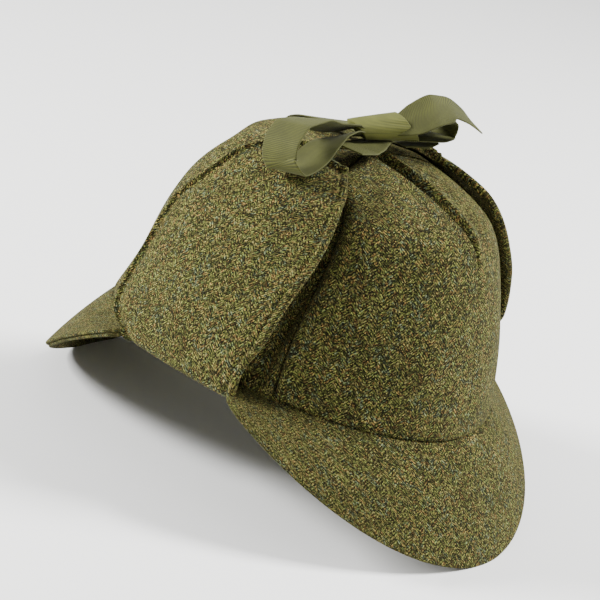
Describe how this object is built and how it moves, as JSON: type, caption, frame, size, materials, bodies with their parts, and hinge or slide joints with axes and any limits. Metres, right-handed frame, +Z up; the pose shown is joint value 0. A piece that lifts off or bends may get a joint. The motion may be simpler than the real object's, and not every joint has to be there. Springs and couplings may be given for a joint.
{
  "type": "deerstalker hat",
  "caption": "Soft tweed deerstalker hat with a panelled crown, a front and a rear peak, and ear flaps folded up and tied over the top with a ribbon bow.",
  "frame": {"origin": "middle of the bounding box at its lowest level, the surface the hat stands on", "axes": "+Y towards the wearer's rear, along the hat's longest extent; +X towards the wearer's left; +Z up"},
  "size_m": [0.1912, 0.2676, 0.1946],
  "materials": {
    "crown_tweed": "matt olive herringbone wool tweed",
    "peak_tweed": "matt olive herringbone wool tweed",
    "facing_tweed": "matt olive herringbone wool tweed",
    "flap_tweed": "matt olive herringbone wool tweed",
    "ribbon": "ribbed ribbon with a soft sheen"
  },
  "bodies": {
    "root": {"crown_panel_rear_left": "crown_tweed", "crown_panel_side_left": "crown_tweed", "crown_panel_front_left": "crown_tweed", "crown_panel_front_right": "crown_tweed", "crown_panel_side_right": "crown_tweed", "crown_panel_rear_right": "crown_tweed", "front_peak_cover": "peak_tweed", "front_peak_facing": "facing_tweed", "rear_peak_cover": "peak_tweed", "rear_peak_facing": "facing_tweed", "ear_flap_left": "flap_tweed", "ear_flap_right": "flap_tweed", "bow_knot": "ribbon", "bow_loop_front": "ribbon", "bow_loop_rear": "ribbon", "bow_tail_front": "ribbon", "bow_tail_rear": "ribbon", "tie_left": "ribbon", "tie_right": "ribbon"}
  },
  "joints": []
}
